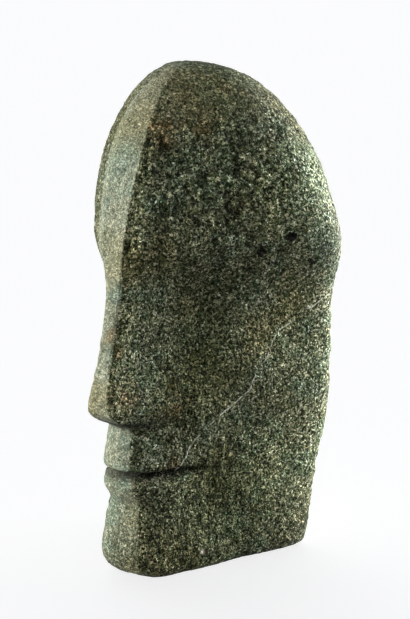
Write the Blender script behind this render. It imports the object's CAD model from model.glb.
from math import cos, radians, sin

import bpy
import numpy as np
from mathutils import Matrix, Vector, noise


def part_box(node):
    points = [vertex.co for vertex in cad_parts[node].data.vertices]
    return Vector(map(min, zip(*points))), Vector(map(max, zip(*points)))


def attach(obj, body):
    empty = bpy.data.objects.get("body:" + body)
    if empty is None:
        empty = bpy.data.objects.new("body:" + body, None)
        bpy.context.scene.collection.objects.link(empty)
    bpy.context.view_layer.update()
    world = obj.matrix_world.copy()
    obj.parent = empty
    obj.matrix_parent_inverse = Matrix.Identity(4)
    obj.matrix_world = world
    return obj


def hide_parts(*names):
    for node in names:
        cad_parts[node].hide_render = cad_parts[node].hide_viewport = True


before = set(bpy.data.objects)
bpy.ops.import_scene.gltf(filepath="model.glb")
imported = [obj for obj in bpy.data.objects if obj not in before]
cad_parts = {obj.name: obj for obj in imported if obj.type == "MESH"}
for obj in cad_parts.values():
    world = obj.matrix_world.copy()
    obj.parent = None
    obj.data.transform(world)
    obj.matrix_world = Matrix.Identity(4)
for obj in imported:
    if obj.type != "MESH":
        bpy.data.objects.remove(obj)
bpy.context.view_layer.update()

# The stone's place and size come from the solid it replaces.
STONE = "carved_stone_face"
LOWEST, HIGHEST = (np.array(corner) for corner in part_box(STONE))
WIDTH, DEPTH, HEIGHT = HIGHEST - LOWEST

# How far the crown leans back, the wear of the underside's edge and the waver of hand work.
CROWN_SET_BACK = 0.011
WORN_EDGE = 0.004
HAND_WAVER = 0.0004

# Heights, as shares of HEIGHT above the underside.
THIRD = 1 / 3
NOSE_BASE = THIRD
BROW_LINE = 2 * THIRD
EYE_LINE = BROW_LINE - THIRD / 4
CHEEKBONE_LINE = (EYE_LINE + NOSE_BASE) / 2
MOUTH_LINE = NOSE_BASE - THIRD / 3
CHIN_GROOVE = NOSE_BASE - 2 * THIRD / 3
NOSE_TIP = NOSE_BASE + THIRD / 8
DOME_START = 0.58

# Distances across, as shares of WIDTH.
EYE = 1 / 5
PUPIL = EYE
MOUTH_CORNER = PUPIL

# Plan directions of the planes that cut the block, from straight ahead.
NOSE_SIDE = radians(73)
BACK_SLANT = radians(135)

# How sharp the edges between planes are: a higher power is a crisper edge.
BAND_EDGE = 60
CHIN_EDGE = 9
BLOCK_EDGE = 14
DOME_CURVE = 2.4

# The grid of the skin. The column counted here from the middle follows the edge of the band.
COLUMNS = 400
ROWS = 246
ARRIS_COLUMN = COLUMNS / 24

# Reliefs of the pecked surface, in metres: how wide each kind of mark is, and how deep.
DENT_WIDE, DENT_DEEP = 0.026, 0.00045
HEWN_WIDE, HEWN_DEEP = 0.010, 0.00045
PECK_WIDE, PECK_DEEP = 0.0036, 0.00065
CHIP_WIDE, CHIP_DEEP = 0.007, 0.0009
PIT_SPACING, PIT_DEEP = 0.0050, 0.0006
MEAN_DEEP = 0.00034
DARK_PIT_DEEP = 0.0016
CROWN_DEEP = 0.0003
DEEPEST_SOILED = 0.0014

# The largest pit as a share of the spacing, and shares of the relief: what rubbing took away, and
# what is added at the foot and on the rough brow.
PIT_SHARE = 0.30
RUBBED_AWAY = 0.70
FOOT_CHIPS = 1.6
ROUGH_MORE = 1.1

# The worn strip along the band's edge: how deep, how far to each side, and the way it faces.
WORN_STRIP_DEEP = 0.0020
WORN_STRIP_IN, WORN_STRIP_OUT = radians(2.8), radians(6.5)
WORN_STRIP_FACES = radians(26)

# Where the band was rubbed smoother, as shares of the way to its edge, and how much the dome was.
RUBBED_FULL, RUBBED_END = 0.64, 0.78
RUBBED_FAR_SIDE = 2.2
RUBBED_DOME = 0.35

# The stone's grains, in metres: how wide each kind is, and how far they and the pecks stand out.
DUST, SMALL_GRAIN, GRAIN, LUMP, CLUMP = 0.0006, 0.0008, 0.0011, 0.0011, 0.0045
GRAIN_RISE = 0.0012
PECK_RISE = 0.0022

# How wide the patches of shade, of hue and of its slow drift are, in metres.
SHADE_WIDE, PATCH_WIDE, DRIFT_WIDE = 0.008, 0.013, 0.045

# The colours of the grains from dark to pale, of glints, of the seams and of one pale grain.
MINERALS = [
    (0.24, (0.018, 0.021, 0.006)),
    (0.37, (0.045, 0.047, 0.017)),
    (0.48, (0.072, 0.081, 0.045)),
    (0.59, (0.140, 0.146, 0.089)),
    (0.74, (0.292, 0.301, 0.226)),
]
GLINT = (0.44, 0.44, 0.36, 1)
SEAM = (0.36, 0.37, 0.29, 1)
PALE_MINERAL = (0.34, 0.29, 0.25, 1)

# The more even colours of the stone where it was rubbed smoother.
RUBBED_DARK = (0.066, 0.070, 0.049, 1)
RUBBED_LIGHT = (0.190, 0.196, 0.146, 1)

# What the hues of single grains multiply the stone's colour by, and how much of that shows.
GREEN_GRAIN = (0.74, 1.06, 1.00)
OLIVE_GRAIN = (1.00, 1.00, 0.91)
BROWN_GRAIN = (1.10, 0.92, 0.72)
HUES = [(0.0, GREEN_GRAIN), (0.45, OLIVE_GRAIN), (0.80, OLIVE_GRAIN), (1.0, BROWN_GRAIN)]
HUE_SHARE = 0.75

# What broad stains and clouds multiply it by.
BROWN_STAIN = (0.92, 0.76, 0.45, 1)
OLIVE_STAIN = (0.66, 0.70, 0.46, 1)
PALE_TINT = (1.72, 1.69, 1.66, 1)
BLUE_TINT = (0.74, 0.98, 1.08, 1)
RUST = (0.86, 0.52, 0.30, 1)
SHADE = (0.35, 0.37, 0.33, 1)

# What wear, gaps and dirt multiply it by.
PALE_STRIP = (1.7, 1.65, 1.6, 1)
GAP = (0.04, 0.045, 0.015, 1)
HOLLOW = (0.25, 0.27, 0.18, 1)
RIDGE = (2.2, 2.15, 2.1, 1)
LOW_PLACE = (0.15, 0.16, 0.09, 1)
DIRT = (0.08, 0.08, 0.07, 1)

# How matt the stone is: its roughness for dark and for pale grains, what rubbing takes off that,
# and its sheen.
MATT_DARK, MATT_PALE = 0.82, 0.55
RUBBED_GLOSS = 0.08
SHEEN = 0.05

# Marks on the stone, as places and reaches in metres, and the seams as the places they run through.
RUST_STAINS = [
    ((0.012, -0.022, 0.211), 0.013),
    ((0.024, -0.009, 0.208), 0.012),
    ((0.010, -0.045, 0.095), 0.012),
    ((0.020, -0.023, 0.088), 0.014),
    ((0.019, -0.026, 0.058), 0.011),
    ((0.004, -0.049, 0.118), 0.008),
]
BROWN_CROWN = [((0.022, 0.000, 0.232), 0.036)]
OLIVE_STAINS = [((0.034, 0.000, 0.030), 0.055), ((0.022, -0.014, 0.094), 0.034)]
PALE_CLOUDS = [
    ((0.062, 0.036, 0.110), 0.050),
    ((0.055, 0.036, 0.055), 0.048),
    ((0.058, 0.024, 0.188), 0.036),
]
BLUE_TINTS = [
    ((-0.004, -0.033, 0.199), 0.020),
    ((0.057, 0.023, 0.191), 0.030),
    ((0.029, -0.004, 0.119), 0.024),
]
DARK_PITS = [
    ((0.057, 0.017, 0.163), 0.0032),
    ((0.048, 0.007, 0.157), 0.0036),
    ((0.054, 0.014, 0.156), 0.0020),
    ((0.014, -0.029, 0.195), 0.0018),
    ((0.061, 0.028, 0.150), 0.0020),
]
ROUGH_BROW = [((0.034, -0.006, 0.188), 0.046)]
PALE_GRAIN = [((0.026, -0.010, 0.011), 0.0020)]
VEIN = [
    (0.062, 0.044, 0.132),
    (0.047, 0.023, 0.117),
    (0.039, 0.010, 0.089),
    (0.027, -0.010, 0.072),
    (0.017, -0.019, 0.053),
]
STREAK = [(0.010, -0.033, 0.054), (0.016, -0.033, 0.048)]

# The way the seams go on into the stone, and half their thickness.
SEAM_INTO = (-0.57, 0.79, -0.24)
SEAM_HALF = 0.00045

# The camera, at the photograph's angle, and where it aims beside and above the stone's middle.
CAMERA_TURN = radians(36)
CAMERA_RISE = radians(14)
CAMERA_DISTANCE = 3.3 * HEIGHT
CAMERA_LENS = 97
AIM_RIGHT = 0.017
AIM_UP = 0.0040
AIM_HEIGHT = 0.5 * HEIGHT

# The lamps: turn to the right of the camera, rise, distance, size, watts and colour.
LAMPS = {
    "left_window": (radians(-75), radians(9), 0.90, (0.50, 0.80), 47, (0.97, 0.97, 1.00)),
    "right_edge": (radians(115), radians(-4), 0.90, (0.50, 0.40), 76, (0.96, 0.98, 1.00)),
    "right_window": (radians(97), radians(20), 0.55, (0.35, 0.40), 10, (0.94, 0.97, 1.00)),
    "front_fill": (radians(15), radians(30), 1.20, (0.90, 0.90), 2, (1.00, 0.99, 0.95)),
}

# The white studio, brighter behind the stone than on the camera's side, and the pale floor.
STUDIO_WHITE = (0.97, 0.98, 1.00, 1)
STUDIO_FAR, STUDIO_NEAR = 1.3, 0.06
FLOOR_RADIUS = 60
FLOOR_BELOW = 0.0002
FLOOR_GREY = (0.42, 0.42, 0.42, 1)
FLOOR_GLOW = (0.985, 0.99, 1.00, 1)
FLOOR_GLOW_STRENGTH = 0.82


# Shape of the stone


def through(stations, height):
    """The smooth curve through (height, value) stations, read at each height."""
    at, value = np.array(stations, float).T
    slope = np.gradient(value, at)
    low = np.clip(np.searchsorted(at, height) - 1, 0, len(at) - 2)
    step = at[low + 1] - at[low]
    t = (height - at[low]) / step
    return (
        (2 * t**3 - 3 * t**2 + 1) * value[low]
        + (t**3 - 2 * t**2 + t) * step * slope[low]
        + (3 * t**2 - 2 * t**3) * value[low + 1]
        + (t**3 - t**2) * step * slope[low + 1]
    )


def hump(offset, reach):
    """A soft hump of height 1 where offset is 0."""
    return np.exp(-((offset / reach) ** 2))


def lopsided(offset, reach_below, reach_above):
    """A hump that falls away faster on one side than on the other."""
    return hump(offset, np.where(offset < 0, reach_below, reach_above))


def fade(value, start, end):
    """0 before start, 1 after end, and smooth between."""
    t = np.clip((value - start) / (end - start), 0, 1)
    return t * t * (3 - 2 * t)


def dome(height):
    """The share of its full size that the block keeps at each height."""
    rise = np.clip((height - DOME_START) / (1 - DOME_START), 0, 1)
    return (1 - rise**DOME_CURVE) ** (1 / DOME_CURVE)


def half_width(height):
    """How far the sides stand from the axis."""
    shares = [
        (0.00, 0.70),
        (0.12, 0.77),
        (NOSE_BASE, 0.90),
        (CHEEKBONE_LINE, 0.955),
        (EYE_LINE - 0.03, 0.94),
        (BROW_LINE - 0.02, 1.00),
        (0.74, 0.985),
        (0.85, 0.90),
        (1.00, 0.76),
    ]
    return through(shares, height) * WIDTH / 2


def front(height):
    """How far the carved front stands ahead of the axis: chin, lips, nose and forehead."""
    shares = [
        (0.000, 0.345),
        (0.020, 0.392),
        (0.050, 0.418),
        (CHIN_GROOVE, 0.410),
        (0.170, 0.414),
        (MOUTH_LINE, 0.424),
        (0.280, 0.430),
        (NOSE_BASE - 0.014, 0.432),
        (NOSE_BASE + 0.004, 0.505),
        (NOSE_BASE + 0.020, 0.555),
        (NOSE_TIP, 0.574),
        (NOSE_TIP + 0.025, 0.569),
        (0.460, 0.528),
        (0.530, 0.487),
        (EYE_LINE, 0.465),
        (BROW_LINE, 0.468),
        (0.760, 0.474),
        (0.860, 0.480),
        (1.000, 0.480),
    ]
    return through(shares, height) * DEPTH


def cheek_front(height):
    """How far ahead of the axis the two cheek planes start, which the nose stands out from."""
    shares = [
        (0.00, 0.345),
        (0.02, 0.392),
        (0.05, 0.418),
        (CHIN_GROOVE, 0.410),
        (MOUTH_LINE, 0.424),
        (NOSE_BASE, 0.425),
        (0.42, 0.395),
        (0.50, 0.385),
        (EYE_LINE, 0.400),
        (BROW_LINE, 0.464),
        (0.76, 0.474),
        (0.86, 0.480),
        (1.00, 0.480),
    ]
    return through(shares, height) * DEPTH


def band_half_width(height):
    """Half the width of the flat band down the forehead, the nose and the chin."""
    shares = [
        (0.00, 0.095),
        (CHIN_GROOVE, 0.088),
        (MOUTH_LINE, 0.072),
        (NOSE_BASE, 0.053),
        (NOSE_TIP, 0.051),
        (0.48, 0.042),
        (EYE_LINE, 0.044),
        (BROW_LINE, 0.060),
        (0.78, 0.074),
        (1.00, 0.082),
    ]
    return through(shares, height) * WIDTH


def cheek_direction(height):
    """The plan direction that the cheek planes face: steep at the jaw, flatter at the brow."""
    degrees = [
        (0.00, 68),
        (MOUTH_LINE, 63),
        (NOSE_BASE, 59),
        (EYE_LINE, 54),
        (BROW_LINE, 52),
        (1.00, 52),
    ]
    return np.radians(through(degrees, height))


def slant_distance(height):
    """How far the slanted back corners stand from the axis."""
    shares = [
        (0.00, 0.60),
        (0.30, 0.645),
        (CHEEKBONE_LINE, 0.66),
        (EYE_LINE - 0.03, 0.645),
        (BROW_LINE - 0.02, 0.67),
        (0.80, 0.62),
        (1.00, 0.48),
    ]
    return through(shares, height) * DEPTH


def back_distance(height):
    """How far the back stands from the axis."""
    shares = [
        (0.00, 0.41),
        (0.25, 0.42),
        (0.60, 0.42),
        (0.80, 0.385),
        (1.00, 0.30),
    ]
    return through(shares, height) * DEPTH


def plane_distance(direction, across, ahead):
    """How far from the axis a plane of that direction is, through a point across and ahead."""
    return across * np.sin(direction) + ahead * np.cos(direction)


def cut_by(planes, angle, power):
    """How far the outline stands from the axis where planes, given as (direction, distance),
    meet in edges worn as the power says."""
    total = 1e-9
    for direction, distance in planes:
        total = total + (np.maximum(np.cos(angle - direction), 0) / distance) ** power
    return total ** (-1 / power)


def worn_join(first, second, reach):
    """The larger of two distances, with a fillet where they meet."""
    near = np.maximum(0, 1 - np.abs(first - second) / reach)
    return np.maximum(first, second) + reach * near**2 / 4


def nose_share(height):
    """Where the nose's sides stand: full along the nose, and sunk into the block elsewhere."""
    below = 1 - fade(height, NOSE_BASE - 0.035, NOSE_BASE)
    above = fade(height, EYE_LINE, BROW_LINE + 0.03)
    return 1 - 0.3 * below - 0.06 * above


def plain_outline(side, height):
    """The block with its nose, cut by planes, before the soft carving."""
    size = dome(height)
    ahead = front(height) * size
    arris = band_half_width(height) * size
    cheek = cheek_direction(height)
    block = cut_by(
        [
            (cheek, plane_distance(cheek, arris, cheek_front(height) * size)),
            (np.pi / 2, half_width(height) * size),
            (BACK_SLANT, slant_distance(height) * size),
            (np.pi, back_distance(height) * size),
        ],
        side,
        BLOCK_EDGE,
    )
    nose_plane = plane_distance(NOSE_SIDE, arris, ahead) * nose_share(height)
    nose = np.where(side < NOSE_SIDE, nose_plane / np.maximum(np.cos(side - NOSE_SIDE), 0.1), 0)
    sides = worn_join(block, nose, 0.06 * DEPTH)
    band = ahead / np.maximum(np.cos(side), 0.05)
    crisp = fade(height, NOSE_BASE - 0.02, NOSE_BASE + 0.01) * (1 - fade(height, 0.84, 0.97))
    edge = CHIN_EDGE + (BAND_EDGE - CHIN_EDGE) * crisp
    return ((ahead / sides) ** edge + (ahead / band) ** edge) ** (-1 / edge) * ahead


def lips(across, height):
    """The mouth: two lips that taper to the corners, and the slit between them."""
    side = np.clip(across / (MOUTH_CORNER * WIDTH), 0, 1.5)
    up = height - MOUTH_LINE + 0.005 * side**2
    full = 1 - fade(side, 0.1, 1.25)
    taper = 1 - 0.45 * np.minimum(side, 1.2) ** 2
    upper = 0.026 * lopsided(up - 0.015 * taper, 0.010, 0.050 * taper)
    lower = 0.024 * lopsided(up + 0.026 * taper, 0.024 * taper, 0.016)
    groove = -0.020 * hump(up + 0.070, 0.022)
    slit = -0.036 * hump(up, 0.0070) * (1 - fade(side, 0.6, 1.2))
    return ((upper + lower + groove) * full + slit) * DEPTH


def soft_carving(across, height):
    """The hollows and swellings worked into the planes."""
    over = across / WIDTH
    brow_fall = height - BROW_LINE + 0.12 * np.maximum(over - EYE / 2, 0) ** 1.5
    eye = -0.048 * hump(over - PUPIL - 0.03, 0.17) * lopsided(height - EYE_LINE, 0.085, 0.055)
    brow = 0.022 * hump(over - 0.28, 0.18) * hump(brow_fall, 0.035)
    cheek = 0.020 * hump(over - 0.32, 0.13) * hump(height - CHEEKBONE_LINE, 0.06)
    wing = 0.022 * hump(over - EYE / 2, 0.045) * hump(height - NOSE_BASE - 0.028, 0.022)
    chin = 0.018 * hump(over, 0.13) * hump(height - 0.05, 0.035)
    return (eye + brow + cheek + wing + chin) * DEPTH


def waver(turn, height):
    """The unevenness of hand work, which keeps the two halves from mirroring each other."""
    return HAND_WAVER * (
        np.sin(2 * turn + 9 * height + 1.0)
        + np.sin(3 * turn - 15 * height + 4.0)
        + np.sin(5 * turn + 23 * height + 2.0)
    )


def edge_direction(height):
    """The plan angle at which the band's edge is seen from the axis."""
    return np.arctan2(band_half_width(height), front(height))


def along_arris(turn, height):
    """The plan angle of a column: columns near the front bend to follow the band's edge."""
    usual = column_turn(2 * ARRIS_COLUMN / COLUMNS)
    at_edge = edge_direction(height)
    straight = radians(50)
    side = np.abs(turn)
    inner = side * at_edge / usual
    outer = at_edge + (side - usual) * (straight - at_edge) / (straight - usual)
    return np.where(side < usual, inner, np.where(side < straight, outer, side))


def crown_set_back(height):
    """How far the dome leans back from the axis."""
    return CROWN_SET_BACK * fade(height, DOME_START, 1.02)


def surface(turn, height):
    """Points of the stone's skin, for turns from -pi to pi round it, 0 being straight ahead."""
    side = along_arris(turn, height)
    reach = plain_outline(side, height)
    across = reach * np.sin(side)
    carving = soft_carving(across, height) + lips(across, height)
    reach = reach + carving * fade(np.cos(side), 0.1, 0.5) + waver(turn, height) * dome(height)
    low = np.clip(1 - height * HEIGHT / WORN_EDGE, 0, 1)
    reach = reach - WORN_EDGE * (1 - np.sqrt(1 - low**2 * 0.9))
    return np.stack(
        [
            np.sign(turn) * reach * np.sin(side),
            crown_set_back(height) - reach * np.cos(side),
            height * HEIGHT,
        ],
        axis=-1,
    )


def fitted(skin, crown):
    """The skin and its crown, stretched a little so that its sides reach the solid's box."""
    low = skin.min(axis=(0, 1))
    high = skin.max(axis=(0, 1))
    middle = (low + high) / 2 * (1, 1, 0)
    stretch = (WIDTH, DEPTH, 1) / (high - low) * (1, 1, 0) + (0, 0, 1)
    place = (LOWEST + HIGHEST) / 2 * (1, 1, 0) + (0, 0, LOWEST[2])
    return (skin - middle) * stretch + place, (crown - middle) * stretch + place


def column_turn(share):
    """The turn of a column, for shares from -1 to 1: columns stand closer together in front."""
    return np.pi * (0.55 * share + 0.45 * share**3)


def row_heights(count):
    """Height shares from the underside to just below the crown, closer together at the mouth,
    the nose, the underside's edge and the crown."""
    fine = np.linspace(0, 1, 4001)
    density = (
        1
        + 0.8 * hump(fine - MOUTH_LINE, 0.06)
        + 0.8 * hump(fine - NOSE_BASE, 0.03)
        + 1.5 * hump(fine, 0.015)
        + 0.25 / np.sqrt(1.001 - fine)
    )
    progress = np.cumsum(density)
    progress = (progress - progress[0]) / (progress[-1] - progress[0])
    return np.interp(np.linspace(0, 1, count + 1)[:-1], progress, fine)


# Pecked surface


def outward(skin):
    """Unit normals of a skin of rows of points."""
    round_it = np.roll(skin, -1, axis=1) - np.roll(skin, 1, axis=1)
    up_it = np.gradient(skin, axis=0)
    normal = np.cross(round_it, up_it)
    return normal / np.maximum(np.linalg.norm(normal, axis=-1, keepdims=True), 1e-12)


def noise_field(points, width, octaves=1):
    """Smooth noise from about -1 to 1, whose marks are about that wide, at each point."""
    flat = points.reshape(-1, 3) / width
    values = [noise.fractal(point, 0.7, 2.1, octaves) for point in flat.tolist()]
    return np.array(values).reshape(points.shape[:-1])


def pit_field(points):
    """0 between the pits and 1 at the bottom of each, with pits of many sizes."""
    values = []
    for point in (points.reshape(-1, 3) / PIT_SPACING).tolist():
        distances, centres = noise.voronoi(point)
        size = PIT_SHARE * (0.4 + 0.6 * noise.cell(centres[0] * 37.0))
        values.append(max(0.0, 1 - distances[0] / max(size, 0.05)))
    deep = np.array(values).reshape(points.shape[:-1])
    return deep**2 * (3 - 2 * deep)


def smooth_share(turn, height):
    """1 where the stone was rubbed smoother: the flat band and the dome. 0 on the broad planes.
    On the far side the rubbed part goes on round the band's edge."""
    reach = edge_direction(height) * np.where(turn < 0, RUBBED_FAR_SIDE, 1)
    side = along_arris(turn, height)
    across_band = 1 - fade(side, RUBBED_FULL * reach, RUBBED_END * reach)
    band = across_band * fade(height, -0.3, NOSE_TIP)
    return np.maximum(band, RUBBED_DOME * fade(height, 0.84, 0.95))


def worn_strip(turn, height):
    """0 to 1 at the edge of the band, which is worn to a strip along the nose and the forehead."""
    from_edge = along_arris(turn, height) - edge_direction(height)
    reach = np.where(from_edge < 0, WORN_STRIP_IN, WORN_STRIP_OUT)
    part = fade(height, NOSE_BASE, NOSE_TIP) * (1 - fade(height, 0.80, 0.92))
    return np.maximum(1 - np.abs(from_edge) / reach, 0) * part


def relief(skin, turn, height):
    """How far the pecked surface lies in from the plain one: never outside it."""
    from_edge = along_arris(turn, height) - edge_direction(height)
    rough = 1 - RUBBED_AWAY * smooth_share(turn, height)
    arris = hump(from_edge, 0.045) * fade(height, NOSE_BASE, NOSE_TIP)
    dents = DENT_DEEP * noise_field(skin, DENT_WIDE)
    hewn = HEWN_DEEP * noise_field(skin, HEWN_WIDE) * rough
    pecks = PECK_DEEP * noise_field(skin, PECK_WIDE, 2) * rough
    pits = PIT_DEEP * pit_field(skin) * rough
    foot = FOOT_CHIPS * (1 - fade(height, 0.004, 0.030))
    chips = CHIP_DEEP * np.maximum(noise_field(skin, CHIP_WIDE, 2) + 0.1, 0) * (arris + foot)
    marks = np.maximum(MEAN_DEEP - dents - hewn - pecks + pits + chips, 0)
    for point, reach in ROUGH_BROW:
        away = np.linalg.norm(skin - point, axis=-1)
        marks = marks * (1 + ROUGH_MORE * hump(away, 0.75 * reach))
    for point, size in DARK_PITS:
        away = np.linalg.norm(skin - point, axis=-1)
        marks = marks + DARK_PIT_DEEP * hump(away, 0.5 * size)
    return marks


def strip_relief(skin, turn, strip):
    """The way in, at each point, from the plain surface to the worn strip's one slanting face."""
    deep = WORN_STRIP_DEEP * strip * (0.8 + 0.6 * noise_field(skin, DENT_WIDE))
    faces = np.sign(turn) * WORN_STRIP_FACES
    facing = np.stack([np.sin(faces), -np.cos(faces), 0 * faces], axis=-1)
    return facing * deep[..., None]


def grime_share(skin, turn, height):
    """0 to 1 where dirt has settled: in the slit between the lips, and under the nose."""
    over = np.abs(skin[..., 0]) / (MOUTH_CORNER * WIDTH)
    in_slit = hump(height - MOUTH_LINE, 0.010) * (1 - fade(over, 0.7, 1.2))
    under_nose = hump(height - NOSE_BASE + 0.008, 0.014) * (1 - fade(over, 0.3, 0.8))
    in_front = np.cos(along_arris(turn, height)) > 0
    return np.clip(np.maximum(in_slit, under_nose), 0, 1) * in_front


def closed_mesh(skin, crown):
    """A closed mesh of the skin's rows, with a crown point above and a middle point below."""
    rows, columns = skin.shape[:2]
    underside = skin[0].mean(axis=0)
    points = np.concatenate([skin.reshape(-1, 3), [crown, underside]])
    first = np.arange(columns)
    after = (first + 1) % columns
    faces = []
    for row in range(rows - 1):
        low = row * columns
        high = low + columns
        faces += np.stack([low + first, low + after, high + after, high + first], 1).tolist()
    last = (rows - 1) * columns
    top = np.full(columns, rows * columns)
    faces += np.stack([last + first, last + after, top], 1).tolist()
    faces += np.stack([after, first, top + 1], 1).tolist()
    mesh = bpy.data.meshes.new("stone_skin")
    mesh.from_pydata(points.tolist(), [], faces)
    mesh.shade_smooth()
    return mesh


def mark(mesh, name, values):
    """Keeps a number for each point of the skin, with 0 for the crown and the underside."""
    layer = mesh.attributes.new(name, "FLOAT", "POINT")
    layer.data.foreach_set("value", np.concatenate([values.ravel(), [0, 0]]).astype(np.float32))


def stone_piece():
    """The pecked stone, with its rubbed, sunk, bruised and dirty places marked on the mesh."""
    share = (np.arange(COLUMNS) - COLUMNS // 2) * 2 / COLUMNS
    turn, height = np.meshgrid(column_turn(share), row_heights(ROWS))
    skin, crown = fitted(surface(turn, height), np.array([0, crown_set_back(1), HEIGHT]))
    marks = relief(skin, turn, height)
    strip = worn_strip(turn, height)
    inward = outward(skin) * marks[..., None] + strip_relief(skin, turn, strip)
    inward[..., 2] *= fade(height, 0, 0.02)
    skin = skin - inward
    mesh = closed_mesh(skin, crown - (0, 0, CROWN_DEEP))
    mark(mesh, "smooth", smooth_share(turn, height))
    mark(mesh, "sunk", np.clip(marks / DEEPEST_SOILED, 0, 1))
    mark(mesh, "strip", np.sqrt(strip) * (turn > 0))
    mark(mesh, "grime", grime_share(skin, turn, height))
    piece = bpy.data.objects.new("pecked_stone_face", mesh)
    bpy.context.scene.collection.objects.link(piece)
    return piece


# Stone material


def add(tree, kind, values=None, **settings):
    """A shader node, with its settings, and its inputs as numbers or as other nodes' outputs."""
    made = tree.nodes.new("ShaderNode" + kind)
    for name, value in settings.items():
        setattr(made, name, value)
    for socket, value in (values or {}).items():
        if isinstance(value, bpy.types.NodeSocket):
            tree.links.new(value, made.inputs[socket])
        else:
            made.inputs[socket].default_value = value
    return made


def math(tree, operation, first, second=0.0):
    """The result of one operation on one or two numbers."""
    return add(tree, "Math", {0: first, 1: second}, operation=operation).outputs[0]


def vector(tree, operation, first, second, result=0):
    """The result of one operation on two vectors."""
    return add(tree, "VectorMath", {0: first, 1: second}, operation=operation).outputs[result]


def blend(tree, factor, first, second, how="MIX"):
    """Two colours mixed by a factor."""
    node = add(tree, "Mix", {0: factor, 6: first, 7: second}, data_type="RGBA", blend_type=how)
    return node.outputs[2]


def tint(tree, colour, mask, strength, by):
    """A colour multiplied by another where the mask is, as far as the strength says."""
    return blend(tree, math(tree, "MULTIPLY", mask, strength), colour, by, "MULTIPLY")


def stretch(tree, value, low, high, to_low=0.0, to_high=1.0):
    """A value between low and high, spread smoothly over another range."""
    node = add(
        tree,
        "MapRange",
        {0: value, 1: low, 2: high, 3: to_low, 4: to_high},
        interpolation_type="SMOOTHSTEP",
    )
    return node.outputs[0]


def ramp(tree, value, stops):
    """The colour at a value between stops, given as (value, colour)."""
    node = add(tree, "ValToRGB", {0: value})
    elements = node.color_ramp.elements
    elements[0].position, elements[0].color = stops[0][0], (*stops[0][1], 1)
    elements[1].position, elements[1].color = stops[-1][0], (*stops[-1][1], 1)
    for position, colour in stops[1:-1]:
        elements.new(position).color = (*colour, 1)
    return node.outputs[0]


def clouds(tree, place, width, detail=2.0, roughness=0.5):
    """Noise from 0 to 1 whose patches are about that wide, in metres."""
    values = {"Vector": place, "Scale": 1 / width, "Detail": detail, "Roughness": roughness}
    return add(tree, "TexNoise", values).outputs[0]


def grains(tree, place, width):
    """A number from 0 to 1 for each cell about that wide, and how far off its edge is."""
    values = {"Vector": place, "Scale": 1 / width, "Randomness": 1.0}
    tone = channel(tree, add(tree, "TexVoronoi", values).outputs["Color"], 0)
    edge = add(tree, "TexVoronoi", values, feature="DISTANCE_TO_EDGE").outputs["Distance"]
    return tone, edge


def channel(tree, colour, name):
    """One of a colour's three numbers."""
    return add(tree, "SeparateColor", {0: colour}).outputs[name]


def total(tree, parts):
    """The sum of values, each times its weight."""
    value = 0.0
    for part, weight in parts:
        value = math(tree, "ADD", value, math(tree, "MULTIPLY", part, weight))
    return value


def shifted(tree, place, width, reach):
    """A place pushed about by noise that wide, by up to about half the reach."""
    push = add(tree, "TexNoise", {"Vector": place, "Scale": 1 / width, "Detail": 1.0}).outputs[1]
    push = vector(tree, "SUBTRACT", push, (0.5, 0.5, 0.5))
    push = add(tree, "VectorMath", {0: push, "Scale": reach}, operation="SCALE").outputs[0]
    return vector(tree, "ADD", place, push)


def near(tree, place, spots, core=0.2):
    """1 in the core of any of the spots, given as (point, reach), and 0 beyond its reach."""
    value = 0.0
    for point, reach in spots:
        gap = vector(tree, "DISTANCE", place, point, "Value")
        value = math(tree, "MAXIMUM", value, stretch(tree, gap, reach, core * reach))
    return value


def along(tree, place, point, direction):
    """How far a place lies from a point along a direction."""
    return vector(tree, "DOT_PRODUCT", vector(tree, "SUBTRACT", place, point), direction, "Value")


def thin_seam(tree, place, start, end):
    """1 on a thin, crooked and broken seam from start to end, which goes on into the stone."""
    course = Vector(end) - Vector(start)
    flat = course.cross(Vector(SEAM_INTO)).normalized()
    crooked = shifted(tree, shifted(tree, place, 0.014, 0.0040), 0.003, 0.0010)
    gap = math(tree, "ABSOLUTE", along(tree, crooked, start, flat))
    share = along(tree, place, start, course / course.length_squared)
    begun = stretch(tree, share, -0.02, 0.03)
    unended = stretch(tree, share, 1.02, 0.97)
    broken = stretch(tree, clouds(tree, place, 0.005, 3.0, 0.6), 0.41, 0.53)
    seam = stretch(tree, gap, SEAM_HALF, 0.4 * SEAM_HALF)
    seam = math(tree, "MULTIPLY", seam, math(tree, "MULTIPLY", begun, unended))
    return math(tree, "MULTIPLY", seam, broken)


def attribute(tree, name):
    """A number that is kept for each point of the skin."""
    return add(tree, "Attribute", attribute_name=name).outputs["Fac"]


def grain_level(tree, lumps, edge, dust, clumps):
    """How high each point of the surface stands: rough lumps and grains with crevices between."""
    rounds = stretch(tree, edge, 0.0, 0.30)
    return total(tree, [(lumps, 1.30), (rounds, 0.22), (dust, 0.60), (clumps, 0.45)])


def crevices(tree, lumps, edge, small_edge):
    """1 in the dark gaps between the lumps, and a little along the grains' edges."""
    gap = stretch(tree, total(tree, [(lumps, 1.0), (edge, 0.40)]), 0.57, 0.48)
    small_gap = math(tree, "MULTIPLY", stretch(tree, small_edge, 0.16, 0.04), 0.45)
    return math(tree, "MAXIMUM", gap, small_gap)


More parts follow.
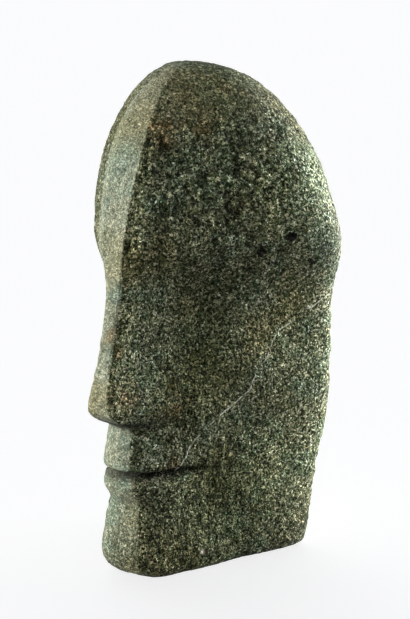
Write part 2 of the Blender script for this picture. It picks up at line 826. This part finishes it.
def mineral_colour(tree, tone, small_tone, dust, smooth):
    """How pale each grain is, and its colour, with a pale glint here and there."""
    mixed = total(tree, [(tone, 0.36), (small_tone, 0.26), (dust, 0.38)])
    in_few = stretch(tree, small_tone, 0.90, 0.97)
    glint = math(tree, "MULTIPLY", in_few, stretch(tree, dust, 0.45, 0.62))
    colour = blend(tree, glint, ramp(tree, mixed, MINERALS), GLINT)
    colour = blend(tree, HUE_SHARE, colour, ramp(tree, tone, HUES), "MULTIPLY")
    rubbed = blend(tree, stretch(tree, dust, 0.36, 0.64), RUBBED_DARK, RUBBED_LIGHT)
    return mixed, blend(tree, math(tree, "MULTIPLY", smooth, 0.62), colour, rubbed)


def tinted(tree, place, mineral):
    """Broad changes of colour: olive brown, blue green, rust stains, and paler clouds."""
    drift = clouds(tree, place, DRIFT_WIDE, 2.0, 0.5)
    patch = clouds(tree, place, PATCH_WIDE, 3.0, 0.6)
    brown = math(tree, "MULTIPLY", stretch(tree, drift, 0.48, 0.66), 0.45)
    crown = math(tree, "MULTIPLY", near(tree, place, BROWN_CROWN), 0.70)
    blue = stretch(tree, math(tree, "ADD", drift, patch), 1.00, 0.82)
    blue = math(tree, "MAXIMUM", blue, near(tree, shifted(tree, place, 0.02, 0.02), BLUE_TINTS))
    rust = near(tree, shifted(tree, place, 0.012, 0.016), RUST_STAINS)
    rust = math(tree, "MULTIPLY", rust, stretch(tree, patch, 0.36, 0.60))
    shade = stretch(tree, clouds(tree, place, SHADE_WIDE, 3.0, 0.65), 0.52, 0.36)
    colour = tint(tree, mineral, math(tree, "MAXIMUM", brown, crown), 1.0, BROWN_STAIN)
    colour = tint(tree, colour, near(tree, place, OLIVE_STAINS), 0.72, OLIVE_STAIN)
    colour = tint(tree, colour, near(tree, place, PALE_CLOUDS), 1.0, PALE_TINT)
    colour = tint(tree, colour, blue, 0.50, BLUE_TINT)
    colour = tint(tree, colour, rust, 0.70, RUST)
    return tint(tree, colour, shade, 0.35, SHADE)


def worn(tree, place, colour, clumps, gaps):
    """Wear and dirt: the bruised strip, gaps between grains, the rough brow's hollows and ridges,
    and dirt in the low places, the slit, under the nose and in the dark pits."""
    bruised = stretch(tree, clumps, 0.35, 0.60, 0.4, 1.0)
    rough = near(tree, place, ROUGH_BROW)
    hollows = math(tree, "MULTIPLY", stretch(tree, clumps, 0.50, 0.36), rough)
    ridges = math(tree, "MULTIPLY", stretch(tree, clumps, 0.50, 0.64), rough)
    low_places = stretch(tree, attribute(tree, "sunk"), 0.40, 1.0)
    ragged = shifted(tree, place, 0.0030, 0.0060)
    grime = math(tree, "MULTIPLY", attribute(tree, "grime"), 0.9)
    dirt = math(tree, "MAXIMUM", grime, near(tree, ragged, DARK_PITS, 0.7))
    colour = tint(tree, colour, attribute(tree, "strip"), bruised, PALE_STRIP)
    colour = tint(tree, colour, gaps, 1.0, GAP)
    colour = tint(tree, colour, hollows, 0.6, HOLLOW)
    colour = tint(tree, colour, ridges, 1.0, RIDGE)
    colour = tint(tree, colour, low_places, 0.65, LOW_PLACE)
    return tint(tree, colour, dirt, 1.0, DIRT)


def seamed(tree, place, colour):
    """The pale vein and the short streak beside the mouth."""
    for seam, strength in ((VEIN, 0.75), (STREAK, 0.90)):
        for start, end in zip(seam, seam[1:]):
            line = math(tree, "MULTIPLY", thin_seam(tree, place, start, end), strength)
            colour = blend(tree, line, colour, SEAM)
    return colour


def bumps(tree, place, level, smooth):
    """The shader's normal, with peck marks and grains that stand out less where it was rubbed."""
    values = {"Strength": stretch(tree, smooth, 0.0, 1.0, 1.0, 0.50)}
    pecks = clouds(tree, place, PECK_WIDE, 2.0, 0.5)
    pecked = add(tree, "Bump", {**values, "Distance": PECK_RISE, "Height": pecks}).outputs[0]
    values.update({"Distance": GRAIN_RISE, "Height": level, "Normal": pecked})
    return add(tree, "Bump", values).outputs[0]


def stone_material():
    """Grains of several minerals with dark gaps, stains, clouds, wear, dirt and pale seams."""
    material = bpy.data.materials.new("pecked_grey_green_stone")
    material.use_nodes = True
    tree = material.node_tree
    shader = tree.nodes["Principled BSDF"]
    place = add(tree, "TexCoord").outputs["Object"]
    smooth = attribute(tree, "smooth")
    loose = shifted(tree, place, 0.0012, 0.0016)
    dust = clouds(tree, place, DUST, 1.0, 0.6)
    clumps = clouds(tree, place, CLUMP, 3.0, 0.6)
    tone, edge = grains(tree, loose, GRAIN)
    small_tone, small_edge = grains(tree, loose, SMALL_GRAIN)
    lumps = clouds(tree, loose, LUMP, 1.0, 0.50)
    level = grain_level(tree, lumps, edge, dust, clumps)
    gaps = crevices(tree, lumps, edge, small_edge)
    gaps = math(tree, "MULTIPLY", gaps, stretch(tree, smooth, 0.0, 1.0, 0.96, 0.42))
    mixed, mineral = mineral_colour(tree, tone, small_tone, dust, smooth)
    colour = worn(tree, place, tinted(tree, place, mineral), clumps, gaps)
    colour = seamed(tree, place, colour)
    colour = blend(tree, near(tree, loose, PALE_GRAIN), colour, PALE_MINERAL)
    roughness = stretch(tree, mixed, 0.3, 0.8, MATT_DARK, MATT_PALE)
    roughness = math(tree, "SUBTRACT", roughness, math(tree, "MULTIPLY", smooth, RUBBED_GLOSS))
    tree.links.new(colour, shader.inputs["Base Color"])
    tree.links.new(roughness, shader.inputs["Roughness"])
    tree.links.new(bumps(tree, place, level, smooth), shader.inputs["Normal"])
    shader.inputs["Specular IOR Level"].default_value = SHEEN
    return material


# Floor, light and camera


def floor_piece():
    """A plain pale floor that glows a little, so that it is as even and white as the studio."""
    bpy.ops.mesh.primitive_circle_add(vertices=96, radius=FLOOR_RADIUS, fill_type="NGON")
    floor = bpy.context.object
    floor.name = "pale_floor"
    floor.location = (0, 0, -FLOOR_BELOW)
    material = bpy.data.materials.new("pale_floor_paint")
    material.use_nodes = True
    shader = material.node_tree.nodes["Principled BSDF"]
    shader.inputs["Base Color"].default_value = FLOOR_GREY
    shader.inputs["Roughness"].default_value = 0.9
    shader.inputs["Specular IOR Level"].default_value = 0.0
    shader.inputs["Emission Color"].default_value = FLOOR_GLOW
    shader.inputs["Emission Strength"].default_value = FLOOR_GLOW_STRENGTH
    floor.data.materials.append(material)
    return floor


def from_camera_side(turn, rise, distance):
    """A place around the stone, turned to the right of the camera and risen, in radians."""
    plan = CAMERA_TURN + turn
    flat = distance * cos(rise)
    return Vector((flat * sin(plan), -flat * cos(plan), distance * sin(rise) + AIM_HEIGHT))


def soft_light(name, turn, rise, distance, size, watts, colour, lit):
    """A soft lamp that lights only the things in the collection lit."""
    lamp = bpy.data.lights.new(name, "AREA")
    lamp.shape = "RECTANGLE"
    lamp.size, lamp.size_y = size
    lamp.energy = watts
    lamp.color = colour
    light = bpy.data.objects.new(name, lamp)
    light.location = from_camera_side(turn, rise, distance)
    aim = Vector((0, 0, AIM_HEIGHT)) - light.location
    light.rotation_euler = aim.to_track_quat("-Z", "Y").to_euler()
    light.light_linking.receiver_collection = lit
    bpy.context.scene.collection.objects.link(light)


def studio_world():
    """White all round, dimmer on the side that the camera stands on."""
    world = bpy.data.worlds.new("white_studio")
    bpy.context.scene.world = world
    world.use_nodes = True
    tree = world.node_tree
    background = tree.nodes["Background"]
    background.inputs["Color"].default_value = STUDIO_WHITE
    direction = add(tree, "TexCoord").outputs["Generated"]
    towards = (sin(CAMERA_TURN), -cos(CAMERA_TURN), 0.0)
    facing = vector(tree, "DOT_PRODUCT", direction, towards, "Value")
    strength = stretch(tree, facing, -0.95, 0.15, STUDIO_FAR, STUDIO_NEAR)
    tree.links.new(strength, background.inputs["Strength"])


def photo_camera():
    """The scene's camera, aimed a little beside the stone's middle as the photograph is."""
    lens = bpy.data.cameras.new("photo_camera")
    lens.lens = CAMERA_LENS
    lens.sensor_width = 36
    camera = bpy.data.objects.new("photo_camera", lens)
    right = Vector((cos(CAMERA_TURN), sin(CAMERA_TURN), 0))
    camera.location = from_camera_side(0, CAMERA_RISE, CAMERA_DISTANCE)
    aim = Vector((0, 0, AIM_HEIGHT + AIM_UP)) + right * AIM_RIGHT - camera.location
    camera.rotation_euler = aim.to_track_quat("-Z", "Y").to_euler()
    bpy.context.scene.collection.objects.link(camera)
    bpy.context.scene.camera = camera


def main():
    """The stone on its floor, lit and seen as in the photograph."""
    stone = stone_piece()
    stone.data.materials.append(stone_material())
    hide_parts(STONE)
    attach(stone, "root")
    floor_piece()
    studio_world()
    lit = bpy.data.collections.new("lit_by_the_lamps")
    lit.objects.link(stone)
    for name, settings in LAMPS.items():
        soft_light(name, *settings, lit)
    photo_camera()
    bpy.context.scene.view_settings.view_transform = "Standard"


main()
